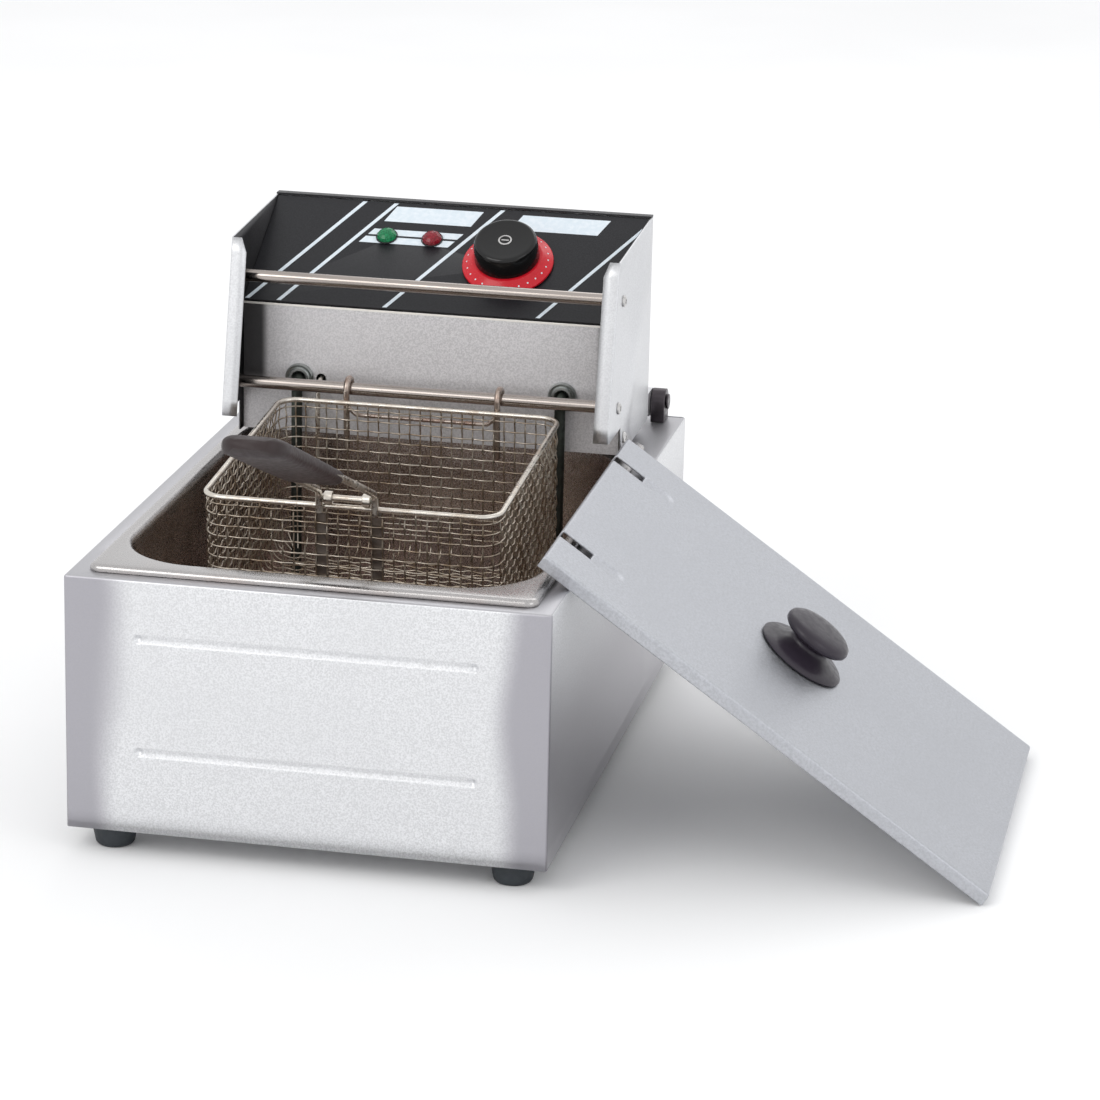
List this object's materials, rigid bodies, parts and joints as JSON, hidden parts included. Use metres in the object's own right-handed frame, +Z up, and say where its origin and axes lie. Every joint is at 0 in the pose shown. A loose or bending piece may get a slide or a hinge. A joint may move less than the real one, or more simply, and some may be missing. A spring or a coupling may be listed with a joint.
{
  "type": "deep fryer",
  "caption": "Countertop electric deep fryer: steel casing, oil tank, tilting control head with dial and element, hanging wire basket with folding handle, leaning lid.",
  "frame": {"origin": "centre of the whole footprint (casing, leaning lid and basket handle) at the level the feet stand on", "axes": "+Z up; -Y is the front, where the basket handle points; +X is the side that the lid leans on"},
  "size_m": [0.5388, 0.5594, 0.3145],
  "materials": {
    "satin_steel": "satin stainless sheet",
    "tank_steel": "drawn stainless, oil-darkened inside",
    "bright_steel": "polished stainless",
    "basket_wire": "nickel-plated wire with an oil tint",
    "element_sheath": "oxidised tube sheath",
    "foot_rubber": "moulded black rubber",
    "ear_finish": "dark painted steel",
    "black_panel": "black printed control panel",
    "gland_finish": "dull grey plated bush",
    "brass_nut": "plain brass",
    "black_plastic": "black moulding",
    "green_lens": "faceted clear green",
    "red_lens": "faceted clear red",
    "moulded_insulator": "off-white moulded insulator",
    "red_plastic": "glossy red moulding",
    "gloss_black": "glossy black moulding",
    "grip_plastic": "dark brown-black moulding",
    "lid_knob_plastic": "dark brown moulding"
  },
  "bodies": {
    "body": {"body_casing": "satin_steel", "rear_panel": "satin_steel", "base_plate": "satin_steel", "oil_tank": "tank_steel", "foot_front_left": "foot_rubber", "foot_front_right": "foot_rubber", "foot_rear_left": "foot_rubber", "foot_rear_right": "foot_rubber", "hinge_ear_left": "ear_finish", "hinge_ear_right": "ear_finish", "hinge_pin_left": "bright_steel", "hinge_pin_right": "bright_steel"},
    "dial": {"dial_ring": "red_plastic", "control_knob": "gloss_black", "thermostat_shaft": "brass_nut"},
    "reset": {"reset_button": "red_plastic"},
    "basket": {"basket_shell": "basket_wire", "basket_rim": "basket_wire", "hook_frame": "basket_wire", "front_strap_left": "basket_wire", "front_strap_right": "basket_wire", "handle_eye_left": "basket_wire", "handle_eye_right": "basket_wire"},
    "handle": {"handle_wire": "basket_wire", "handle_grip": "grip_plastic"},
    "lid": {"lid_plate": "satin_steel", "lid_knob": "lid_knob_plastic", "lid_knob_screw": "bright_steel"},
    "head": {"hinge_arm_left": "satin_steel", "hinge_arm_right": "satin_steel", "head_side_left": "satin_steel", "head_side_right": "satin_steel", "head_front_panel": "satin_steel", "control_panel": "black_panel", "head_rear_cover": "satin_steel", "head_floor": "satin_steel", "upper_rod": "bright_steel", "lower_rod": "bright_steel", "upper_rod_screw_left": "bright_steel", "upper_rod_screw_right": "bright_steel", "lower_rod_screw_left": "bright_steel", "lower_rod_screw_right": "bright_steel", "heating_element": "element_sheath", "element_gland_left": "gland_finish", "element_gland_right": "gland_finish", "element_nut_left": "brass_nut", "element_nut_right": "brass_nut", "thermostat_bulb": "bright_steel", "bulb_guard": "bright_steel", "power_lamp_bezel": "black_plastic", "heat_lamp_bezel": "black_plastic", "power_lamp_lens": "green_lens", "heat_lamp_lens": "red_lens", "power_lamp_body": "black_plastic", "heat_lamp_body": "black_plastic", "thermostat_body": "moulded_insulator", "terminal_block": "moulded_insulator", "limit_thermostat": "black_plastic", "safety_switch": "black_plastic", "cord_gland": "black_plastic"}
  },
  "joints": [
    {"name": "head_tilt", "type": "hinge", "parent": "body", "child": "head", "pos_m": [-0.12535, 0.26775, 0.183], "axis": [-1, 0, 0], "range_deg": [0, 85]},
    {"name": "dial_turn", "type": "hinge", "parent": "head", "child": "dial", "pos_m": [-0.08495, 0.1921, 0.28636], "axis": [0, 0.5075, -0.8616], "range_deg": [0, 270]},
    {"name": "reset_press", "type": "slide", "parent": "head", "child": "reset", "axis": [0, -1, 0], "range_m": [0, 0.003], "stiffness_N_per_m": 500, "springref_m": -0.002},
    {"name": "basket_lift", "type": "slide", "parent": "head", "child": "basket", "axis": [0, -0.4226, 0.9063], "range_m": [0, 0.12]},
    {"name": "handle_fold", "type": "hinge", "parent": "basket", "child": "handle", "pos_m": [-0.12535, -0.06167, 0.199], "axis": [-1, 0, 0], "range_deg": [0, 115]},
    {"name": "lid_lift", "type": "slide", "parent": "body", "child": "lid", "axis": [0.5678, 0, 0.8231], "range_m": [0, 0.12]}
  ]
}
